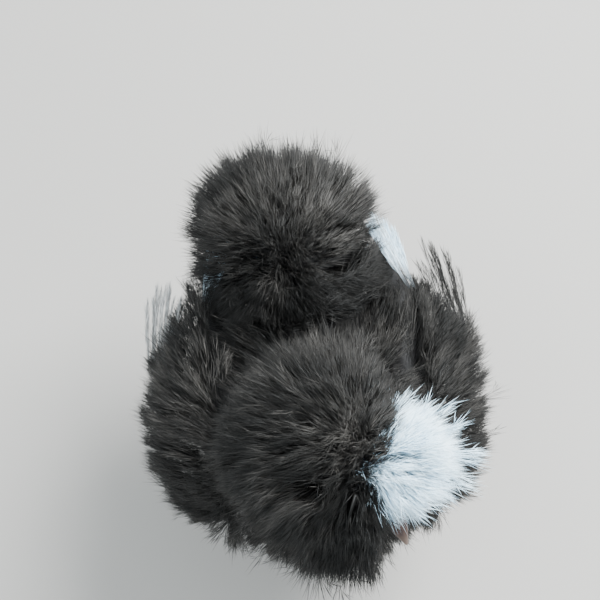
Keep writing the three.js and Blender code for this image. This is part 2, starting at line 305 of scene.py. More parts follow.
def tube(parts, points, radii, steps=24, fine=8):
    """Adds a closed tube with round ends, along a smooth line through the points, to a list of parts."""
    points = np.array([tuple(p) for p in points])
    radii = np.array(radii, float)
    at = np.linspace(0, len(points) - 1, (len(points) - 1) * fine + 1)
    padded = np.vstack([2 * points[0] - points[1], points, 2 * points[-1] - points[-2]])
    n = np.minimum(at.astype(int), len(points) - 2)
    t = (at - n)[:, None]
    a, b, c, d = (padded[n + k] for k in range(4))
    line = 0.5 * (2 * b + (c - a) * t + (2 * a - 5 * b + 4 * c - d) * t**2 + (3 * b - a - 3 * c + d) * t**3)
    width = np.interp(at, range(len(radii)), radii)
    caps = np.linspace(0, np.pi / 2, 6)[:-1]
    ahead = np.gradient(line, axis=0)
    ahead /= np.linalg.norm(ahead, axis=1, keepdims=True)
    start = line[0] - ahead[0] * width[0] * np.cos(caps)[:, None]
    end = line[-1] + ahead[-1] * width[-1] * np.sin(np.pi / 2 - caps[::-1])[:, None]
    centres = np.vstack([start, line, end])
    around = np.concatenate([width[0] * np.sin(caps), width, width[-1] * np.sin(caps[::-1])])
    ways = np.vstack([np.repeat(ahead[:1], len(caps), 0), ahead, np.repeat(ahead[-1:], len(caps), 0)])
    side = np.cross(ways, [0.0, 0.0, 1.0])
    side /= np.maximum(np.linalg.norm(side, axis=1, keepdims=True), 1e-6)
    up = np.cross(side, ways)
    turn = np.linspace(0, math.tau, steps, endpoint=False)
    ring = np.cos(turn)[None, :, None] * side[:, None] + np.sin(turn)[None, :, None] * up[:, None]
    vertices = (centres[:, None] + ring * np.maximum(around, 1e-6)[:, None, None]).reshape(-1, 3)
    faces = []
    for r in range(len(centres) - 1):
        for s in range(steps):
            right = (s + 1) % steps
            faces.append((r * steps + s, r * steps + right, (r + 1) * steps + right, (r + 1) * steps + s))
    faces += [tuple(range(steps))[::-1], tuple(range((len(centres) - 1) * steps, len(centres) * steps))]
    parts.append((vertices, faces))


def swollen(parts, node, by):
    """Adds a copy of a solid of the frame to a list of parts, grown a little all round."""
    form = bmesh.new()
    form.from_mesh(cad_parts[node].data)
    bmesh.ops.remove_doubles(form, verts=form.verts, dist=0.02 * MM)
    form.normal_update()
    grown = [v.co + v.normal * by for v in form.verts]
    form.verts.index_update()
    parts.append((grown, [[v.index for v in f.verts] for f in form.faces]))
    form.free()


def moulded(name, parts, grain, smooth, material):
    """Joins overlapping closed parts into one smooth closed mesh."""
    vertices, faces = [], []
    for part_vertices, part_faces in parts:
        offset = len(vertices)
        vertices += list(part_vertices)
        faces += [[i + offset for i in face] for face in part_faces]
    made = mesh_object(name, vertices, faces, material)
    remesh = made.modifiers.new("join", "REMESH")
    remesh.mode = "VOXEL"
    remesh.voxel_size = grain
    polish = made.modifiers.new("polish", "SMOOTH")
    polish.factor = 0.5
    polish.iterations = smooth
    return settled(made)


def settled(made):
    """Turns an object's modifiers into its mesh."""
    result = bpy.data.meshes.new_from_object(made.evaluated_get(bpy.context.evaluated_depsgraph_get()))
    made.modifiers.clear()
    old = made.data
    made.data = result
    result.name = made.name
    bpy.data.meshes.remove(old)
    result.shade_smooth()
    return made


def vertex_array(piece):
    points = np.empty(len(piece.data.vertices) * 3, np.float32)
    piece.data.vertices.foreach_get("co", points)
    return points.reshape(-1, 3)


def set_vertices(piece, points):
    piece.data.vertices.foreach_set("co", points.astype(np.float32).ravel())
    piece.data.update()


def mark(mesh, name, values):
    """Gives each point of a mesh a number, which its material reads."""
    mesh.attributes.new(name, "FLOAT", "POINT").data.foreach_set("value", values)


def eye_turned(side):
    """The way that an eye looks, along its own z axis. Side is 1 on the bird's left and -1 on its right."""
    return head_turned @ Matrix.Rotation(side * EYE_ASIDE, 4, "Y")


# in millimetres, in the bird's own frame: middle, half sizes, and the tip towards the back in degrees
BREAST_AND_BACK = ((0, -1, 122), (46, 72, 42), -6)
BREAST = ((0, -25, 112), (43, 50, 40), 0)
RUMP = ((0, 56, 147), (34, 28, 24), 25)
FOLDED_WING = ((45, 1, 125), (18, 62, 27), 8)

# in millimetres, in the bird's own frame: the points along each tube, and its radii
NECK = ((15, -65, 182), (9, -49, 160), (4, -29, 140), (1, -11, 128)), (12, 12.5, 16, 24)
THIGH = ((28, 11, 100), (27, 17, 78), (25, 15, 60)), (27, 18, 8)
HOCK = ((25, 17, 66), (26, 12, 46)), (6.5, 4.6)

EYE_ASIDE = math.radians(82)  # from straight up in the head's frame to where an eye looks
LID_BALL = 6.6 * MM  # the skin over the whole eyeball
RIM_HIGH, RIM_LONG, RIM_OUT = 3.8 * MM, 4.8 * MM, 4.4 * MM  # the thick rim round the opening
RIM_RADIUS = 0.8 * MM
RIM_STEPS = 24


def flesh_ball(form, side=1):
    (x, y, z), half, tip = form
    turned = Matrix.Rotation(math.radians(tip), 4, "X")
    ball(flesh, body_point(side * x, y, z), tuple(h * MM for h in half), turned)


def flesh_tube(form, side=1):
    points, radii = form
    tube(flesh, [body_point(side * x, y, z) for x, y, z in points], [r * MM for r in radii])


flesh = []
swollen(flesh, "head", 0.4 * MM)
for side, place in zip((1, -1), eye_places):
    ball(flesh, place, (LID_BALL,) * 3)
    outwards = eye_turned(side).to_3x3()
    rim = []
    for step in range(RIM_STEPS + 1):
        angle = math.tau * step / RIM_STEPS
        rim.append(place + outwards @ Vector((
            RIM_HIGH * math.cos(angle),
            RIM_LONG * math.sin(angle),
            RIM_OUT,
        )))
    tube(flesh, rim, [RIM_RADIUS] * len(rim), steps=10, fine=2)
flesh_tube(NECK)
flesh_ball(BREAST_AND_BACK)
flesh_ball(BREAST)
flesh_ball(RUMP)
for side in (1, -1):
    flesh_ball(FOLDED_WING, side)
    flesh_tube(THIGH, side)
    flesh_tube(HOCK, side)
for node in LEG_PARTS:
    swollen(flesh, node, 0.35 * MM)

skin_look = Look("hide", roughness=0.62, specular_ior_level=0.2)
scaled = skin_look.attribute("scaled")
blush = skin_look.between(skin_look.noise(90.0), 0.35, 0.7)
face_tone = skin_look.mix(blush, (0.008, 0.005, 0.007), (0.020, 0.010, 0.015))
# under the coat the hide is near black: the bird's own dark skin, darkened further as painted shade for the
# gaps in the coat
face_tone = skin_look.mix(skin_look.attribute("under"), face_tone, (0.008, 0.007, 0.007))
face_tone = skin_look.mix(skin_look.attribute("white"), face_tone, (0.62, 0.66, 0.69))
leg_tone = skin_look.mix(blush, (0.022, 0.026, 0.034), (0.048, 0.054, 0.066))
plates = skin_look.node(
    "ShaderNodeTexVoronoi", {"Vector": skin_look.place(), "Scale": 560.0}, feature="DISTANCE_TO_EDGE"
)
plate = skin_look.between(plates, 0.02, 0.22)
leg_tone = skin_look.mix(plate, (0.013, 0.015, 0.019), leg_tone)
skin_look.feed(base_color=skin_look.mix(scaled, face_tone, leg_tone))
wrinkles = skin_look.noise(420.0, 4.0) * (1 - scaled) + plate * scaled
skin_look.bump(wrinkles, 0.5 * MM, 0.8)
skin = moulded("skin", flesh, HIDE_GRAIN, 6, skin_look.material)

# Eye openings: the lids' edge lies on the eyeball, and the skin inside the opening stays behind it. Two
# shallow folds run round the lids
OPENING_HIGH, OPENING_LONG = 3.6, 4.7  # half the height and half the length of each opening, in millimetres
skin_points = vertex_array(skin)
for side, place in zip((1, -1), eye_places):
    turned = np.array(eye_turned(side).to_3x3())
    x, y, z = ((skin_points - np.array(place)) @ turned / MM).T
    ring = np.where(z > -1, np.hypot(x / OPENING_HIGH, y / OPENING_LONG), 3)
    reach = np.sqrt(x**2 + y**2 + z**2)
    behind = np.minimum(reach, 4.8 + 1.0 * np.clip(ring, 0, 1) ** 6)
    fold = 0.28 * np.sin((ring - 1.2) * math.tau / 0.42) * np.exp(-(((ring - 1.62) / 0.35) ** 2))
    before = np.maximum(reach + fold, 6.25 + 0.55 * np.exp(-(((ring - 1.16) / 0.16) ** 2)))
    wanted = behind + (before - behind) * np.clip((ring - 0.94) / 0.12, 0, 1)
    share = np.where(reach < 10, wanted / np.maximum(reach, 0.1), 1)[:, None]
    skin_points = np.array(place) + (skin_points - np.array(place)) * share
set_vertices(skin, skin_points)

# The hide is thinned out where the coat hides it, and pressed flat where the toes meet the floor
HEAD_ROUND = 34 * MM  # the hide this near to the middle of the head stays fine
THINNED_TO = 0.3  # of its faces
SCALES_FADE = 6 * MM
FACE_REACH, FACE_FADES = 26 * MM, 8 * MM  # how far the face's own colour goes from the middle of the head
thin = skin.vertex_groups.new(name="hidden")
skin_points = vertex_array(skin)
from_head = np.linalg.norm(skin_points - np.array(head_middle), axis=1)
hidden = (from_head > HEAD_ROUND) & (skin_points[:, 2] > FEATHERED_ABOVE)
thin.add([int(i) for i in np.flatnonzero(hidden)], 1.0, "REPLACE")
trim = skin.modifiers.new("trim", "DECIMATE")
trim.ratio = THINNED_TO
trim.vertex_group = "hidden"
settled(skin)
skin_points = vertex_array(skin)
skin_points[:, 2] = np.maximum(skin_points[:, 2], 0.0)
set_vertices(skin, skin_points)
scales = np.clip((FEATHERED_ABOVE - skin_points[:, 2]) / SCALES_FADE, 0, 1)
mark(skin.data, "scaled", scales)
from_head = np.linalg.norm(skin_points - np.array(head_middle), axis=1)
# 1 under the coat, where the hide takes its near-black colour with painted shade
under = np.clip((from_head - FACE_REACH) / FACE_FADES, 0, 1) * (1 - scales)
mark(skin.data, "under", under)

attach(skin, "root")
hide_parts(*FLESH_PARTS, *LEG_PARTS)


# Eyes: dark glossy balls, nearly black, with a deep brown ring round the pupil. Each is one ball that
# swells a little at the front, set into the lids
EYE_RINGS = (  # the share of the way from the pupil's middle to the side of the eye, and the colour there
    (0.0, (0.001, 0.001, 0.001)),
    (0.30, (0.001, 0.001, 0.001)),
    (0.36, (0.012, 0.005, 0.003)),
    (0.62, (0.006, 0.003, 0.002)),
    (0.70, (0.002, 0.0015, 0.0015)),
)
EYE_DIAMETER = 12 * MM
CORNEA_SWELLS, CORNEA_WIDE = 0.05, 0.4

eye_look = Look("eye", roughness=0.1, coat_weight=0.1, coat_roughness=0.02, specular_ior_level=0.25)
eye_look.feed(base_color=eye_look.node("ShaderNodeValToRGB", [eye_look.attribute("ring")], stops=EYE_RINGS))
for name, place, side in zip(("eye_left", "eye_right"), eye_places, (1, -1)):
    outwards = eye_turned(side)
    form = []
    ball(form, place, (EYE_DIAMETER / 2,) * 3, outwards, rings=32, steps=48)
    vertices, faces = form[0]
    look_way = outwards.to_3x3() @ Vector((0, 0, 1))
    rings = []
    cornea = []
    for vertex in vertices:
        out = vertex - place
        ring = math.acos(max(-1, min(1, out.normalized().dot(look_way)))) / (math.pi / 2)
        rings.append(ring)
        cornea.append(place + out * (1 + CORNEA_SWELLS * math.exp(-((ring / CORNEA_WIDE) ** 2))))
    eye = mesh_object(f"{name}_ball", cornea, faces, eye_look.material)
    eye.data.shade_smooth()
    mark(eye.data, "ring", rings)
    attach(eye, "root")
    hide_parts(name)


# Beak: two halves of brown horn, paler along the cutting edges and at the tip, with a nostril slit
# on each side near the root of the upper half
def clay(name, node, grain, smooth, material):
    """A smooth copy of a solid of the frame."""
    form = []
    swollen(form, node, 0.12 * MM)
    return moulded(name, form, grain, smooth, material)


def in_head_frame(points):
    """Places in the head's own frame, in millimetres."""
    back = np.array(head_frame.inverted())
    return (points @ back[:3, :3].T + back[:3, 3]) / MM


def carved(piece, move):
    """Moves each point of a piece by what move gives for its place in the head's frame, along its normal."""
    points = vertex_array(piece)
    normals = np.empty(len(points) * 3, np.float32)
    piece.data.vertices.foreach_get("normal", normals)
    set_vertices(piece, points + normals.reshape(-1, 3) * (move(in_head_frame(points)) * MM)[:, None])


def bulge(local, x, y, z, size, height):
    """A smooth bump or dent round a place, with its size given along x, y and z."""
    away = (local - np.array([x, y, z])) / np.array(size)
    return height * np.exp(-np.sum(away**2, axis=1))


def nostrils(local):
    """Two short slits pressed into the upper half, in millimetres."""
    return sum(bulge(local, side * 3.9, -22.5, -1.6, (1.3, 2.6, 0.8), -1.5) for side in (1, -1))


BEAK_TIP = -38.0  # along the head's own y axis, in millimetres
UPPER_EDGE, LOWER_EDGE = -6.6, -8.0  # the height of each half's cutting edge, in the same frame
EDGE_WIDE = 1.6
horn_look = Look("horn", roughness=0.45, specular_ior_level=0.3)
grain = horn_look.node("ShaderNodeMapping", {"Vector": horn_look.place(), "Scale": (1, 0.25, 1)})
streaks = horn_look.between(horn_look.noise(500.0, 4.0, place=grain), 0.35, 0.7)
brown = horn_look.mix(streaks, (0.024, 0.012, 0.010), (0.052, 0.027, 0.021))
horn_look.feed(base_color=horn_look.mix(horn_look.attribute("pale"), brown, (0.16, 0.115, 0.092)))
horn_look.bump(streaks, 0.08 * MM, 0.5)
for name, node in (("upper_bill", "beak_upper"), ("lower_bill", "beak_lower")):
    bill = clay(name, node, 0.3 * MM, 14, horn_look.material)
    upper = node == "beak_upper"
    if upper:
        carved(bill, nostrils)
    local = in_head_frame(vertex_array(bill))
    tip = np.clip((BEAK_TIP + 7 - local[:, 1]) / 6, 0, 1) ** 1.5
    edge_height = UPPER_EDGE if upper else LOWER_EDGE
    edge = np.clip(1 - np.abs(local[:, 2] - edge_height) / EDGE_WIDE, 0, 1)
    edge = edge * np.clip(np.abs(local[:, 0]) / 2.5, 0, 1)
    pale = np.clip(0.65 * tip + 0.8 * edge, 0, 0.9).astype(np.float32)
    mark(bill.data, "pale", pale)
    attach(bill, "root")
    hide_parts(node)


# Comb and earlobes: a knobbly mulberry cushion over the beak, and a smooth turquoise lobe below each ear
comb_look = Look("comb_skin", roughness=0.5, specular_ior_level=0.45)
pebbles = comb_look.node("ShaderNodeTexVoronoi", {"Vector": comb_look.place(), "Scale": 900.0})
pebble = comb_look.between(pebbles, 0.1, 0.7)
comb_look.feed(base_color=comb_look.mix(pebble, (0.030, 0.009, 0.015), (0.012, 0.004, 0.007)))
comb_look.bump(1 - pebbles, 0.4 * MM, 0.8)


def knobs(local):
    """Rows of knobs, with a furrow down the middle, in millimetres."""
    rows = 0.55 * np.sin(local[:, 0] * 1.7 + 0.4) * np.sin(local[:, 1] * 1.9 + 1)
    return rows + bulge(local, 0, -20, 9, (0.7, 5, 3), -0.9)


comb = clay("walnut_comb", "comb", 0.35 * MM, 4, comb_look.material)
carved(comb, knobs)
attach(comb, "root")
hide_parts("comb")

lobe_look = Look("earlobe_skin", roughness=0.45, specular_ior_level=0.45)
lobe_blotch = lobe_look.between(lobe_look.noise(260.0), 0.35, 0.7)
lobe_look.feed(base_color=lobe_look.mix(lobe_blotch, (0.004, 0.032, 0.044), (0.010, 0.065, 0.078)))
lobe_look.bump(lobe_look.noise(900.0), 0.15 * MM, 0.6)
for side in ("left", "right"):
    lobe = clay(f"lobe_{side}", f"earlobe_{side}", 0.3 * MM, 18, lobe_look.material)
    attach(lobe, "root")
    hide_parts(f"earlobe_{side}")


# Claws: short curved horn in slate and grey streaks, one on each of the ten toes. They are pressed flat
# where they meet the floor
TOES = ("hind", "inner", "middle", "outer", "fifth")
claw_look = Look("claw_horn", roughness=0.4, specular_ior_level=0.5)
claw_streaks = claw_look.between(claw_look.noise(700.0, 4.0), 0.3, 0.7)
claw_look.feed(base_color=claw_look.mix(claw_streaks, (0.06, 0.055, 0.055), (0.17, 0.15, 0.135)))
claw_look.bump(claw_streaks, 0.06 * MM, 0.5)
for side in ("left", "right"):
    for toe in TOES:
        claw = clay(f"nail_{toe}_{side}", f"claw_{toe}_{side}", 0.3 * MM, 3, claw_look.material)
        points = vertex_array(claw)
        points[:, 2] = np.maximum(points[:, 2], 0.0)
        set_vertices(claw, points)
        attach(claw, "root")
        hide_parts(f"claw_{toe}_{side}")


# Coat: hair-like feathers. Each is a soft shaft that grows out of the hide and carries loose silky
# barbs all along its outer part, so it looks like a thin tuft. Their tips make the bird's outline
hide = BVHTree.FromPolygons([v.co for v in skin.data.vertices], [p.vertices[:] for p in skin.data.polygons])
SOFT_NODES = ("crest", "beard", "neck", "trunk", "saddle", "tail") + tuple(
    f"{part}_{side}"
    for part in ("wing", "thigh", "shank_feathers", "toe_feathers")
    for side in ("left", "right")
)
COVER_REACH = 1.5 * MM  # a solid's face is inside the coat where another solid is nearer than this
PATCH = 0.003  # of the bake's map, for one feather
OFF_THE_FLOOR = 0.1 * MM


def unit(vectors):
    """The vectors at length 1."""
    return vectors / np.maximum(np.linalg.norm(vectors, axis=-1, keepdims=True), 1e-9)


def flat_to(vectors, normals):
    """The part of each vector that lies in the surface."""
    return vectors - np.sum(vectors * normals, axis=1, keepdims=True) * normals


def rounded(node):
    """The corners, rounded-off corner normals and triangles of a solid of the frame."""
    form = bmesh.new()
    form.from_mesh(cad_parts[node].data)
    bmesh.ops.remove_doubles(form, verts=form.verts, dist=0.02 * MM)
    bmesh.ops.triangulate(form, faces=form.faces)
    form.normal_update()
    form.verts.index_update()
    corners = np.array([v.co[:] for v in form.verts])
    normals = np.array([v.normal[:] for v in form.verts])
    triangles = np.array([[v.index for v in f.verts] for f in form.faces])
    form.free()
    return corners, normals, triangles


solids = {node: rounded(node) for node in SOFT_NODES}
all_corners, all_triangles = [], []
for corners, _, triangles in solids.values():
    all_triangles += (triangles + len(all_corners)).tolist()
    all_corners += corners.tolist()
outline = BVHTree.FromPolygons(all_corners, all_triangles)


def scattered(node, count, rng):
    """Random places on the open faces of a solid, evenly by area, with their outward normals."""
    corners, normals, triangles = solids[node]
    a, b, c = (corners[triangles[:, k]] for k in range(3))
    area = np.linalg.norm(np.cross(b - a, c - a), axis=1)
    centres = (a + b + c) / 3
    faces = unit(np.cross(b - a, c - a))
    kept_points, kept_normals = np.empty((0, 3)), np.empty((0, 3))
    while len(kept_points) < count:
        pick = rng.choice(len(triangles), size=count, p=area / area.sum())
        u, v = rng.random((2, count, 1))
        flip = u + v > 1
        u, v = np.where(flip, 1 - u, u), np.where(flip, 1 - v, v)
        points = a[pick] + u * (b - a)[pick] + v * (c - a)[pick]
        na, nb, nc = (normals[triangles[pick, k]] for k in range(3))
        rounded_normals = unit(na + u * (nb - na) + v * (nc - na))
        shown = np.array([
            outline.ray_cast(Vector(p + n * 1e-5), Vector(n), COVER_REACH)[0] is None
            for p, n in zip(points, faces[pick])
        ])
        kept_points = np.vstack([kept_points, points[shown]])
        kept_normals = np.vstack([kept_normals, rounded_normals[shown]])
        if not shown.any():
            break
    return kept_points[:count], kept_normals[:count]


def drift(points, size, seed):
    """A smooth random vector for each point, which changes over about the given size."""
    rng = np.random.default_rng(seed)
    total = np.zeros((len(points), 3))
    for _ in range(6):
        waves = rng.normal(size=(3, 3)) / size
        total += np.sin(points @ waves + rng.uniform(0, math.tau, 3))
    return total / 6**0.5 / 0.707


def strands(paths, radii, rng):
    """Vertices and triangles of thin three-sided strands along paths, pointed at both ends."""
    count, steps, _ = paths.shape
    ahead = unit(np.gradient(paths, axis=1)[:, 1:-1])
    side = unit(np.cross(unit(rng.normal(size=(count, 1, 3))), ahead))
    up = np.cross(ahead, side)
    turn = np.arange(3) * math.tau / 3
    ring = np.cos(turn)[:, None] * side[:, :, None] + np.sin(turn)[:, None] * up[:, :, None]
    rings = paths[:, 1:-1, None] + ring * radii[..., None, None]
    vertices = np.concatenate([paths[:, :1], rings.reshape(count, -1, 3), paths[:, -1:]], axis=1)
    each = vertices.shape[1]
    faces = []
    for s in range(3):
        after = (s + 1) % 3
        faces.append((0, 1 + after, 1 + s))
        for low in range(1, each - 4, 3):
            faces.append((low + s, low + after, low + 3 + after))
            faces.append((low + s, low + 3 + after, low + 3 + s))
        faces.append((each - 4 + s, each - 4 + after, each - 1))
    faces = np.array(faces)
    triangles = (faces[None] + each * np.arange(count)[:, None, None]).reshape(-1, 3)
    return vertices.reshape(-1, 3), triangles, each, faces


def curve_at(points, t):
    """The places and ways of cubic curves (count, 4, 3) at the given shares (count, n)."""
    t = t[..., None]
    a, b, c, d = (points[:, None, k] for k in range(4))
    place = (1 - t) ** 3 * a + 3 * (1 - t) ** 2 * t * b + 3 * (1 - t) * t**2 * c + t**3 * d
    way = (1 - t) ** 2 * (b - a) + 2 * (1 - t) * t * (c - b) + t**2 * (d - c)
    return place, unit(way)


def feathered(
    curves, rng, barbs, barb_length, spread, shaft_radius, barb_radius, bare=0.35, frizz=0.12, face=None
):
    """The strands of feathers along cubic curves: paths, radii, the feather of each, and shares.

    The shaft is bare over its inner part, and frizz makes the barbs wavy. Barbs stand all round the shaft,
    or on its two sides only where the way that the feather faces is given.
    """
    count = len(curves)
    shaft_shares = np.tile([0.0, 0.35, 0.72, 1.0], (count, 1))
    shafts, _ = curve_at(curves, shaft_shares)
    lengths = np.linalg.norm(np.diff(shafts, axis=1), axis=2).sum(1)
    shaft_radii = np.tile(np.array([1.0, 0.6]) * shaft_radius, (count, 1))
    shares = bare + (0.98 - bare) * ((np.arange(barbs) + rng.random((count, barbs))) / barbs) ** 0.85
    starts, ways = curve_at(curves, shares)
    facing = unit(rng.normal(size=(count, 1, 3))) if face is None else np.array(face)
    sideways = unit(np.cross(ways, facing))
    upwards = np.cross(sideways, ways)
    turn = rng.uniform(0, math.tau, (count, barbs, 1))
    if face is not None:
        turn = np.where(turn > math.pi, math.pi, 0) + (turn % 0.4)
    out = np.cos(turn) * sideways + np.sin(turn) * upwards
    left = (1 - shares) * lengths[:, None]
    reach = np.minimum(0.6 * left + 0.35 * barb_length, barb_length) * rng.uniform(0.7, 1.3, left.shape)
    reach = reach[..., None]
    splay = (spread * rng.uniform(0.3, 1.5, left.shape))[..., None]
    ruffle = rng.normal(size=(count, barbs, 3)) * frizz
    middles = starts + reach * 0.45 * unit(ways * np.cos(splay) + out * np.sin(splay) + ruffle * 0.4)
    ends = middles + reach * 0.55 * unit(ways * np.cos(splay * 0.3) + out * np.sin(splay * 0.3) + ruffle)
    barb_paths = np.stack([starts, middles, ends], axis=2).reshape(-1, 3, 3)
    barb_radii = barb_radius * rng.uniform(0.7, 1.25, (count * barbs, 1))
    barb_shares = shares[..., None] + (1 - shares[..., None]) * np.array([0, 0.45, 1.0])
    return (
        (shafts, shaft_radii, np.arange(count), shaft_shares),
        (barb_paths, barb_radii, np.repeat(np.arange(count), barbs), barb_shares.reshape(-1, 3)),
    )


def unwrapped(points, heart, front):
    """An equal-area unwrap of a rounded part of the hide about its middle, cut open opposite front."""
    forward = unit(np.array(front, float))
    side = unit(np.cross(forward, [0.31, 0.17, 0.94]))
    up = np.cross(side, forward)
    way = unit(points - np.array(heart))
    ahead = way @ forward
    flat = np.stack([way @ side, way @ up], axis=1)
    scale = np.sqrt(2 / np.maximum(1 + ahead, 1e-3))[:, None] / 2
    return np.clip(0.5 + 0.49 * flat * scale, 0.004, 0.996)


def coat_piece(
    name, curves, tones, whites, places, rng, material, slot="black_plumage", parting=None, **shape
):
    """Makes one mesh of feathers, with tone, white and along values and a bake map."""
    vertices, triangles, alongs, owners, corners, shades = [], [], [], [], [], []
    offset = 0
    for paths, radii, owner, shares in feathered(curves, rng, **shape):
        v, t, each, faces = strands(paths, radii, rng)
        rings = np.repeat(shares[:, 1:-1], 3, axis=1)
        ring_shares = np.concatenate([shares[:, :1], rings, shares[:, -1:]], axis=1)
        side_place = np.concatenate([[0.5], np.tile([0.0, 1 / 3, 2 / 3], paths.shape[1] - 2), [0.5]])
        across = np.tile(side_place[faces], (len(paths), 1, 1)).reshape(-1, 3)
        wraps = (across.max(1) - across.min(1) > 0.5)[:, None] & (across < 0.1)
        across = np.where(wraps, 1.0, across)
        vertices.append(v)
        triangles.append(t + offset)
        alongs.append(ring_shares.ravel())
        owners.append(np.repeat(owner, each))
        strand_tones = tones[owner] * 0.6 + rng.random(len(owner)) ** 2 * 0.4
        shades.append(np.repeat(strand_tones, each))
        corners.append(across)
        offset += len(v)
    vertices, triangles = np.vstack(vertices), np.vstack(triangles)
    if parting:
        vertices = parting(vertices)
    vertices[:, 2] = np.maximum(vertices[:, 2], OFF_THE_FLOOR)
    along, owner, across = np.concatenate(alongs), np.concatenate(owners), np.vstack(corners)
    mesh = bpy.data.meshes.new(name)
    mesh.vertices.add(len(vertices))
    mesh.vertices.foreach_set("co", vertices.astype(np.float32).ravel())
    mesh.loops.add(triangles.size)
    mesh.loops.foreach_set("vertex_index", triangles.astype(np.int32).ravel())
    mesh.polygons.add(len(triangles))
    mesh.polygons.foreach_set("loop_start", np.arange(0, triangles.size, 3, dtype=np.int32))
    mesh.update(calc_edges=True)
    for key, values in (("tone", np.concatenate(shades)), ("white", whites[owner]), ("along", along)):
        mark(mesh, key, values.astype(np.float32))
    share = along[triangles]
    share = np.where(np.ptp(share, axis=1, keepdims=True) < 1e-6, share + np.array([0, 0.05, 0]), share)
    patch = np.stack([across - 0.5, share - 0.5], axis=2) * PATCH
    spots = places[owner][triangles] + patch
    mesh.uv_layers.new(name="OFBake").data.foreach_set("uv", spots.astype(np.float32).ravel())
    mesh.shade_smooth()
    mesh.materials.append(material)
    made = bpy.data.objects.new(name, mesh)
    bpy.context.scene.collection.objects.link(made)
    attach(made, "root")
    return made


def planted(points):
    """A search tree of points."""
    tree = KDTree(len(points))
    for n, place in enumerate(points):
        tree.insert(place, n)
    tree.balance()
    return tree


RESTS_WITHIN = 0.2 * MM


def bridging(points, normals, radius):
    """How far each point must rise so that a ball of the radius, rolled over the solids, rests on it."""
    rises = np.zeros(len(points))
    for n, (place, out) in enumerate(zip(points, normals)):
        for _ in range(6):
            centre = Vector(place + out * (radius + rises[n]))
            gap = radius - outline.find_nearest(centre)[3]
            if gap < RESTS_WITHIN:
                break
            rises[n] += gap
    return rises[:, None]


WHORL_SIZE = 16 * MM
FEATHERS_TO_A_LOCK = 7
TOUSLED_OVER, SWAYS_OVER, WANDERS_OVER = 5 * MM, 22 * MM, 9 * MM  # the size of each unevenness of the lie
SMALL_LUMPS, BROAD_LUMPS = 7 * MM, 20 * MM
LEAST_SINK = 2.5 * MM
STRAYS_OUT = 3 * MM  # how far a stray feather's tip may stand out of the solid
ROOT_BELOW = 12 * MM


def grow(
    node, count, whorl, seed, root=None, back=24 * MM, lift=(25, 25), sink=0.0, ruffle=0.12, clump=0.5,
    pull=(0, 0, 0), lumps=2.0 * MM, bridge=0.0, strays=0.05, shaped=None,
):
    """Curves of feathers whose tips lie on a solid of the frame, the tone of each, and the random stream.

    They flow away from a whorl, and rise off the surface by lift degrees, from the whorl to far from it.
    Where solids meet in a crease, the tips rise to bridge it. Tips lie up to sink below the surface, which
    lumps make uneven, and clump draws them together into locks.
    """
    rng = np.random.default_rng(seed)
    tips, normals = scattered(node, count, rng)
    if bridge:
        tips = tips + normals * np.minimum(bridging(tips, normals, bridge), 0.8 * bridge)
    if shaped:
        tips = shaped(tips)
    away = tips - np.array(whorl)
    distance = np.linalg.norm(away, axis=1, keepdims=True)
    near = np.exp(-((distance / WHORL_SIZE) ** 2))
    tousle = drift(tips, TOUSLED_OVER, seed + 2) * 0.9 * near
    tousle = tousle + drift(tips, SWAYS_OVER, seed + 3) * ruffle * 1.6
    flow = unit(flat_to(unit(away) + np.array(pull) + tousle, normals) + 1e-6)
    rise = np.radians(lift[1] + (lift[0] - lift[1]) * near)
    wander = drift(tips, WANDERS_OVER, seed + 1) * ruffle + rng.normal(size=tips.shape) * ruffle * 0.5
    stray = rng.random((len(tips), 1)) < strays
    wander = wander + stray * rng.normal(size=tips.shape) * 0.35
    end = unit(flow * np.cos(rise) + normals * np.sin(rise) + wander)
    height = drift(tips, SMALL_LUMPS, seed + 4)[:, :1] * lumps
    height = height + drift(tips, BROAD_LUMPS, seed + 5)[:, :1] * lumps
    depth = LEAST_SINK + sink * rng.random((len(tips), 1)) ** 1.5 - height
    depth = np.where(stray, -STRAYS_OUT * rng.random((len(tips), 1)), np.maximum(depth, 0))
    tips = tips - normals * depth
    lock_count = max(len(tips) // FEATHERS_TO_A_LOCK, 1)
    centres = tips[rng.choice(len(tips), lock_count, replace=False)]
    tree = planted(centres)
    found = [tree.find(p) for p in tips]
    nearest, locks = np.array([f[0][:] for f in found]), np.array([f[1] for f in found])
    tips = tips + np.where(stray, 0, (nearest - tips) * clump * rng.random((len(tips), 1)) ** 0.5)
    if root is None:
        guess = tips - flow * back - normals * ROOT_BELOW
    else:
        guess = root(tips)
    found = [hide.find_nearest(Vector(g)) for g in guess]
    roots = np.array([f[0][:] for f in found])
    skin_out = np.array([f[1][:] for f in found])
    span = np.linalg.norm(tips - roots, axis=1, keepdims=True)
    start = unit(skin_out * 0.8 + unit(tips - roots) * 0.6 + flow * 0.1)
    curves = np.stack([roots, roots + start * span * 0.36, tips - end * span * 0.38, tips], axis=1)
    tones = 0.6 * rng.random(len(centres))[locks] + 0.4 * rng.random(len(tips))
    return curves, tones, rng


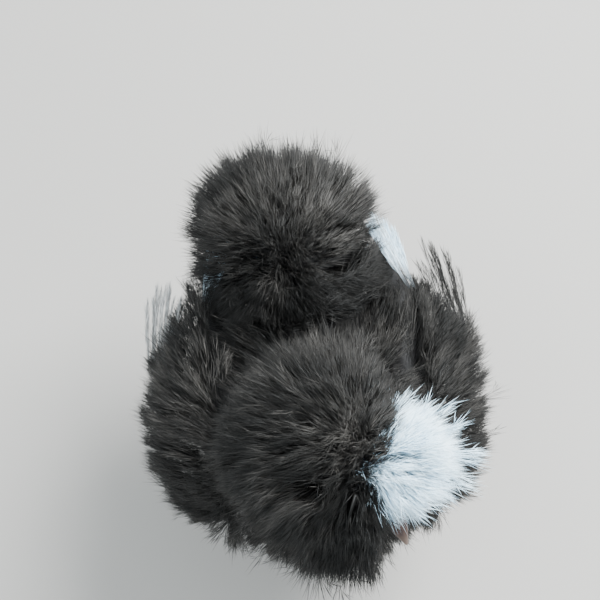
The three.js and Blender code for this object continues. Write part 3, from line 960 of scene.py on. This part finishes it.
def plume_look(name, deep, dark, light):
    """Painted shade between the strands and at their roots, and lighter on the outermost strands."""
    look = Look(name, roughness=0.5, specular_ior_level=0.2)
    along, tone, white = look.attribute("along"), look.attribute("tone"), look.attribute("white")
    blotch = look.between(look.noise(24.0, 2.0), 0.36, 0.66)
    strand = look.mix(look.between(tone + blotch * 0.25, 0.12, 1.15) ** 2, dark, light)
    # painted shade: each strand goes to the deep colour towards its root, so the gaps between strands are
    # dark
    black = look.mix(look.between(along, 0.35, 0.85), deep, strand)
    # painted shade on the white strands: bluish where the tone is low, and grey towards their roots
    white_in_blue_shade = look.mix(tone, (0.52, 0.71, 0.86), (0.86, 0.97, 1.0))
    pale = look.mix(look.between(along, 0.15, 0.75), (0.40, 0.44, 0.47), white_in_blue_shade)
    look.feed(base_color=look.mix(white, black, pale))
    return look.material


# the first colour is the painted shade at the roots and between the strands
plumage = plume_look("plumage", (0.004, 0.0035, 0.003), (0.005, 0.0045, 0.004), (0.079, 0.071, 0.064))


# Crest: a mop that springs from the knob on the skull, with the white patch on its left side. It
# parts at a few places, where one looks deep into it. It is one growth of feathers in three pieces
CREST_WHORL_PIXEL = (365, 458)
CREST_FEATHERS = 4500
WHITE_APEX_PIXEL = (374, 479)
WHITE_FROM, WHITE_TO = math.radians(-68), math.radians(57)  # round the apex, as seen from above
WHITE_START = 2.5 * MM  # from the apex
CREST_PARTINGS = (  # the place, half the length, half the width and the bearing of each hollow
    ((376, 455), 3.2 * MM, 2.8 * MM, 0),
    ((384, 412), 8.0 * MM, 3.2 * MM, 60),
    ((299, 491), 8.5 * MM, 3.6 * MM, -12),
    ((352, 508), 7.0 * MM, 3.0 * MM, 80),
    ((300, 420), 6.0 * MM, 2.4 * MM, 130),
)
CREST_LIGHT_AND_SHADE = (  # the place, the size and the gain in tone of each part: painted light on the whorl, painted shade on the back rim, on the right side, in two hollows and under the front, and one lighter part low on the right
    ((345, 450), 10 * MM, 0.6),
    ((318, 366), 10 * MM, -0.4),
    ((268, 518), 11 * MM, 0.35),
    ((360, 525), 15 * MM, -0.6),
    ((386, 412), 5 * MM, -0.6),
    ((300, 492), 6 * MM, -0.6),
    ((235, 450), 14 * MM, -0.25),
)
PARTING_DEPTH = 15 * MM
PARTING_CLEARS = 0.25  # 1 leaves the hollow as it was, and 0 clears it


def seen_at(spot, node):
    """Where the camera's line through a picture point meets a solid."""
    x, y = (spot[0] - PICTURE / 2) * pixel, (PICTURE / 2 - spot[1]) * pixel
    way = (view_right * x + view_up * y - view_back * VIEW_DISTANCE).normalized()
    corners, _, triangles = solids[node]
    form = BVHTree.FromPolygons(corners.tolist(), triangles.tolist())
    return np.array(form.ray_cast(camera_place, way)[0])


def shaded(tones, tips, node, shades):
    """Tones with soft lighter and darker parts round places of the picture, most of them painted light and
    shade.
    """
    for spot, size, gain in shades:
        away = np.linalg.norm(tips - seen_at(spot, node), axis=1)
        tones = tones + gain * np.exp(-(away / size) ** 2)
    return tones


def parted(node, hollows, heart):
    """A function that pushes points out of oval hollows, which go from a solid's face towards its middle."""
    wells = []
    for spot, length, width, bearing in hollows:
        mouth = seen_at(spot, node)
        axis = unit(mouth - heart)
        turn = math.radians(bearing)
        lengthwise = np.array(view_right * math.cos(turn) + view_up * math.sin(turn))
        lengthwise = unit(lengthwise - axis * (lengthwise @ axis))
        wells.append((mouth, axis, lengthwise, np.cross(axis, lengthwise), length, width))

    def push(points):
        for mouth, axis, lengthwise, sidewise, length, width in wells:
            off = points - mouth
            u, v = off @ lengthwise / (2 * length), off @ sidewise / (2 * width)
            deep = np.clip(1 + off @ axis / PARTING_DEPTH, 0, 1)
            reach = np.hypot(u, v)
            inside = (reach < 1) & (deep > 0)
            grown = np.maximum(reach, 1e-3) ** (1 - (1 - PARTING_CLEARS) * deep)
            gain = np.where(inside, grown / np.maximum(reach, 1e-3) - 1, 0)[:, None]
            aside = u[:, None] * 2 * length * lengthwise + v[:, None] * 2 * width * sidewise
            points = points + gain * aside
        return points

    return push


crest_whorl = seen_at(CREST_WHORL_PIXEL, "crest")
white_apex = seen_at(WHITE_APEX_PIXEL, "crest")
knob = np.array(on_head(0, 2, 4))
KNOB_RADIUS = 13 * MM


def whiteness(points, rng):
    """1 in the white sector of the crest, which opens from its apex over the bird's left side."""
    aside = points - white_apex
    right, up = aside @ np.array(view_right), aside @ np.array(view_up)
    angle = np.arctan2(up, right) + rng.normal(0, 0.07, len(points))
    far = np.hypot(right, up) + rng.normal(0, 1.5 * MM, len(points))
    return ((angle > WHITE_FROM) & (angle < WHITE_TO) & (far > WHITE_START)).astype(float)


CREST_MIDDLE = (350, 470)
CREST_REACH = (  # how far the crest reaches from its middle in the picture, by the bearing in degrees
    (0, 128), (17, 114), (30, 98), (41, 83), (53, 73), (63, 82), (73, 114), (90, 126),
    (111, 127), (136, 137), (169, 134), (197, 133), (220, 119), (238, 116), (254, 120),
    (270, 123), (288, 112), (303, 80), (311, 71), (320, 94), (343, 117), (360, 128),
)


def outlined(node, middle_spot, reaches):
    """A function that moves points in the picture's plane, so that a solid's outline reaches as given."""
    middle = seen_at(middle_spot, node)
    right, up = np.array(view_right), np.array(view_up)
    corners = solids[node][0] - middle
    corner_angles = np.degrees(np.arctan2(corners @ up, corners @ right)) % 360
    corner_reach = np.hypot(corners @ up, corners @ right)
    bearings = np.arange(0, 361, 15)
    gap = np.abs((corner_angles[None] - bearings[:, None] + 180) % 360 - 180)
    full = np.array([corner_reach[g < 12].max() for g in gap])

    def move(points):
        off = points - middle
        x, y = off @ right, off @ up
        angle = np.degrees(np.arctan2(y, x)) % 360
        wanted = np.interp(angle, *zip(*reaches)) * pixel
        share = wanted / np.interp(angle, bearings, full)
        gain = (share - 1) * np.clip(np.hypot(x, y) / wanted, 0, 1) ** 2
        return points + (gain * x)[:, None] * right + (gain * y)[:, None] * up

    return move


def crown(tips):
    """Where crest feathers with the given tips come out of the knob."""
    way = unit(tips - knob)
    way[:, 2] = way[:, 2] * 0.6 + 0.75
    return knob + unit(way) * KNOB_RADIUS


EYE_CLEARS = 9.5 * MM  # no crest feather ends nearer to an eye than this
CREST_OVERHANG = 5 * MM  # how far a stray feather may hang out in front of the solids
BEFORE_EYE = Vector((5, -3, 1))  # in millimetres, from the left eye, along the head's own axes
curves, tones, rng = grow(
    "crest", CREST_FEATHERS, crest_whorl, seed=11, root=crown, lift=(52, 22), sink=8 * MM, ruffle=0.15,
    clump=0.8, bridge=5 * MM, shaped=outlined("crest", CREST_MIDDLE, CREST_REACH),
)
clear = np.ones(len(curves), bool)
for side, place in zip((1, -1), eye_places):
    off = Vector((side * BEFORE_EYE.x, BEFORE_EYE.y, BEFORE_EYE.z))
    before_eye = place + head_turned.to_3x3() @ off * MM
    clear &= np.linalg.norm(curves[:, 2:] - np.array(before_eye), axis=2).min(1) > EYE_CLEARS
curves, tones = curves[clear], tones[clear]
curves[..., 1] = np.maximum(curves[..., 1], cad_box[0][1] - CREST_OVERHANG)
whites = whiteness(curves[:, 3], rng)
# painted light and shade on the crest's tones
tones = np.maximum(shaded(tones, curves[:, 3], "crest", CREST_LIGHT_AND_SHADE), 0)
around = np.arctan2(curves[:, 3, 1] - crest_whorl[1], curves[:, 3, 0] - crest_whorl[0])
CREST_FEATHER = {
    "barbs": 14, "barb_length": 19 * MM, "spread": 0.21, "shaft_radius": 0.16 * MM, "barb_radius": 0.13 * MM,
    "parting": parted("crest", CREST_PARTINGS, knob),
}
crest_places = unwrapped(curves[:, 0], knob, (0, 0, 1))
third = np.argsort(np.argsort(around)) * 3 // len(curves)
for n, part in enumerate(("front", "left", "back")):
    mine = third == n
    piece = coat_piece(
        f"crest_{part}", curves[mine], tones[mine], whites[mine], crest_places[mine], rng, plumage,
        **CREST_FEATHER,
    )
    if n == 1:
        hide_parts("crest")


# The hide carries the same marking as the feathers that grow out of it
CROWN_ROUND = 20 * MM  # the hide this near to the knob can be marked
ROOTS_NEAR = 3 * MM  # a feather's root this near to the hide marks it
tree = planted(curves[:, 0])
marking = np.zeros(len(skin.data.vertices), np.float32)
for n in np.flatnonzero(np.linalg.norm(vertex_array(skin) - knob, axis=1) < CROWN_ROUND):
    found = tree.find_n(skin.data.vertices[n].co, 5)
    marking[n] = np.mean([whites[f[1]] for f in found]) if found[0][2] < ROOTS_NEAR else 0
mark(skin.data, "white", marking)


# Beard and muffs: short soft feathers that puff out under the beak and over both cheeks, in one piece
# that grows from the root of the beak backwards
def clad(name, node, count, whorl, seed, splits=1, look=plumage, painted_shading_by_height=(0, 0), shades=(), **options):
    """Covers a solid of the frame with feathers, in one piece or in slices from left to right.

    Their tones take painted light and shade that goes with height, from its gain at the bottom to its gain
    at the top of the solid.
    """
    feather = {key: options.pop(key) for key in tuple(options) if key in FEATHER_KEYS}
    curves, tones, rng = grow(node, count, whorl, seed, **options)
    low, high = np.array(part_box(node))
    heart = (low + high) / 2
    # painted light and shade: the tones change with the height of each tip
    tones = tones + np.interp(curves[:, 3, 2], (low[2], high[2]), painted_shading_by_height)
    tones = np.maximum(shaded(tones, curves[:, 3], node, shades), 0)
    places = unwrapped(curves[:, 0], heart, (0, -0.3, 1))
    slices = np.argsort(np.argsort(curves[:, 3, 0])) * splits // len(curves)
    pieces = []
    for n in range(splits):
        mine = slices == n
        label = name if splits == 1 else f"{name}_{n + 1}"
        feathers = {**BODY_FEATHER, **feather}
        pieces.append(coat_piece(
            label, curves[mine], tones[mine], np.zeros(mine.sum()), places[mine], rng, look, **feathers
        ))
    return pieces


BODY_FEATHER = {
    "barbs": 14, "barb_length": 17 * MM, "spread": 0.26, "shaft_radius": 0.16 * MM, "barb_radius": 0.13 * MM,
}
FEATHER_KEYS = (*BODY_FEATHER, "bare", "frizz")

beak_root = np.array(on_head(0, -17, -6))
pieces = clad(
    "beard_muffs", "beard", 420, beak_root, seed=21, lift=(30, 35), back=9 * MM, sink=5 * MM,
    barb_length=9 * MM, barb_radius=0.12 * MM, bare=0.2,
)
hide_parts("beard")


# Neck, back and breast: the hackle and the body feathers flow out from the neck over the shoulders,
# and rise over the creases between neck, trunk and wings
nape = np.array(on_head(0, 8, -16))
clad("hackle", "neck", 900, nape, seed=31, lift=(40, 30), back=24 * MM, sink=7 * MM, bridge=12 * MM)
clad(
    "body_coat", "trunk", 2600, nape, seed=41, splits=2, lift=(30, 26), back=26 * MM, sink=8 * MM,
    bridge=15 * MM,
)


# Tail and saddle: a round puff whose feathers radiate from a whorl on top of the rump. The cushion of
# the saddle in front of it lies the same way, down towards the back
TAIL_WHORL_PIXEL = (283, 258)
tail_whorl = seen_at(TAIL_WHORL_PIXEL, "tail")
stub = np.array(body_point(-3, 55, 148))
STUB_RADIUS = 20 * MM
TAIL_MIDDLE = (283, 235)
TAIL_REACH = (  # as for the crest
    (0, 92), (6, 108), (12, 114), (29, 122), (61, 118), (90, 117), (120, 118), (150, 119), (180, 115),
    (200, 112), (222, 108), (250, 106), (270, 104), (290, 102), (310, 98), (330, 92), (350, 90), (360, 92),
)


def rump(tips):
    """Where tail feathers with the given tips come out of the stub."""
    return stub + unit(tips - stub) * STUB_RADIUS


# the tail puff gets painted shade low down and painted light on top, and one lighter patch on its lower
# front
clad(
    "tail_puff", "tail", 2000, tail_whorl, seed=61, root=rump, lift=(50, 22), sink=9 * MM, ruffle=0.11,
    bridge=6 * MM, shaped=outlined("tail", TAIL_MIDDLE, TAIL_REACH), barb_length=24 * MM, spread=0.2,
    painted_shading_by_height=(-0.1, 0.05), shades=(((275, 290), 7 * MM, 0.6),),
)
# the saddle coat gets painted shade all over, for the shade between the tail and the crest, with one lighter
# patch
clad(
    "saddle_coat", "saddle", 900, tail_whorl, seed=51, lift=(30, 28), back=24 * MM, sink=8 * MM,
    ruffle=0.18, bridge=4 * MM, pull=(0, -0.5, 0), painted_shading_by_height=(-0.5, -0.4),
    shades=(((278, 300), 8 * MM, 0.9),),
)


# Wings: folded, and hidden by loose feathers that hang over the flanks. They flow from the nape
# towards the tail, a little downwards
for side, sign in (("left", 1), ("right", -1)):
    clad(
        f"wing_coat_{side}", f"wing_{side}", 1500, nape, seed=71 + sign, lift=(25, 24), back=24 * MM,
        sink=7 * MM, pull=(0, 0.5, -0.1), bridge=16 * MM, strays=0.03,
    )


# Flight feathers: the stiff feathers that stand out of each folded wing. This breed's have no hooks on
# their barbs, so they look tattered: white ones by the rump, black ones on the left and grey on the right
FLIGHT = {  # in millimetres, in the bird's own frame, on its left side, with the lean in radians
    "start": (83, 12, 128), "to": (71, 74, 138), "lean": 0.7, "lengths": (54, 61, 64, 58, 48), "width": 6,
    "loose": 4.0, "split": 0.5,
}
PRIMARIES = {
    "start": (52, 33, 167), "to": (37, 80, 170), "lean": 0.9, "lengths": (36, 42, 40, 33), "width": 3.4,
    "loose": 0.8, "split": 1.0,
}
STRANDS_TO_A_FEATHER = 3
FAN_BARBS = 36
WORN = {"left": 1, "right": 0.8}  # how much of the flight feathers' length is left on each wing


def fan(name, node, side, slot, look, white, seed, start, to, lean, lengths, width, loose, split, share=1):
    """A flat fan of stiff feathers in the place of a solid of the frame.

    They stand width apart, parted by split in the middle, and wander by loose out of the fan's plane.
    """
    rng = np.random.default_rng(seed)
    mirrored = np.array([side, 1, 1])
    root = np.array(start) * mirrored
    way = unit(np.array(to) * mirrored - root)
    face = np.array([side * math.cos(lean), 0, math.sin(lean)])
    face = unit(face - way * (face @ way))
    across = np.cross(way, face)
    curves = []
    for n in range(len(lengths) * STRANDS_TO_A_FEATHER):
        length = lengths[n // STRANDS_TO_A_FEATHER] * share * rng.uniform(0.86, 1.0)
        at = ((n + 0.5) / STRANDS_TO_A_FEATHER - len(lengths) / 2) * width
        at += split * (1 if at > 0 else -1)
        spread = at * (1 + 0.25 * length / max(lengths))
        bow = rng.normal(0, 0.8, 2)
        base = root + across * at * 0.4 - way * 2 - np.array([0, 0, 4])
        tip = root + across * spread + way * length + face * rng.uniform(-loose, loose)
        bend = across * bow[0] + face * bow[1]
        curves.append([base, base + (tip - base) * 0.35 + bend, base + (tip - base) * 0.7 + bend, tip])
    curves = np.array(curves) * MM + np.array(bird_origin)
    root = root * MM + np.array(bird_origin)
    places = unwrapped(curves[:, 0] + rng.normal(0, 3 * MM, (len(curves), 3)), root, way)
    piece = coat_piece(
        name, curves, rng.random(len(curves)), np.full(len(curves), white), places, rng, look, slot=slot,
        barbs=FAN_BARBS, barb_length=14 * MM, spread=0.24, shaft_radius=0.3 * MM, barb_radius=0.15 * MM,
        bare=0.18, frizz=0.08, face=face,
    )
    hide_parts(node)


# the first colour is the painted shade at the roots and between the strands
grey_plumage = plume_look("grey_plumage", (0.20, 0.195, 0.19), (0.28, 0.275, 0.27), (0.62, 0.61, 0.60))
for side, sign in (("left", 1), ("right", -1)):
    flight_slot, flight_look = ("black_plumage", plumage) if sign > 0 else ("grey_plumage", grey_plumage)
    fan(
        f"flight_feathers_{side}", f"flight_{side}", sign, flight_slot, flight_look, 0.0, 111 + sign,
        share=WORN[side], **FLIGHT,
    )
    fan(
        f"white_primaries_{side}", f"primaries_{side}", sign, "white_plumage", plumage, 1.0, 121 + sign,
        **PRIMARIES,
    )


# Thighs and feet: fluff down the thighs, and short feathers on the outer side of the shanks and toes,
# which lie closer than the rest of the coat and get shorter towards the claws
for side, sign in (("left", 1), ("right", -1)):
    hip = np.array(body_point(sign * 26, 3, 120))
    clad(
        f"thigh_fluff_{side}", f"thigh_{side}", 300, hip, seed=81 + sign, lift=(25, 24), back=18 * MM,
        sink=6 * MM, bridge=12 * MM,
    )
    knee = np.array(body_point(sign * 24, 7, 60))
    pieces = clad(
        f"shank_tufts_{side}", f"shank_feathers_{side}", 260, knee, seed=91 + sign, lift=(22, 20),
        back=12 * MM, sink=4 * MM, clump=0.15, lumps=0.4 * MM, strays=0, barb_length=9 * MM,
        barb_radius=0.12 * MM, bare=0.1,
    )
    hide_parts(f"shank_feathers_{side}")
    ankle = np.array(body_point(sign * 27, -7, 12))
    pieces = clad(
        f"toe_tufts_{side}", f"toe_feathers_{side}", 160, ankle, seed=101 + sign, lift=(16, 12),
        back=9 * MM, sink=2.5 * MM, clump=0.15, lumps=0.3 * MM, strays=0, barb_length=7 * MM,
        barb_radius=0.11 * MM, bare=0.1,
    )
    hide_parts(f"toe_feathers_{side}")
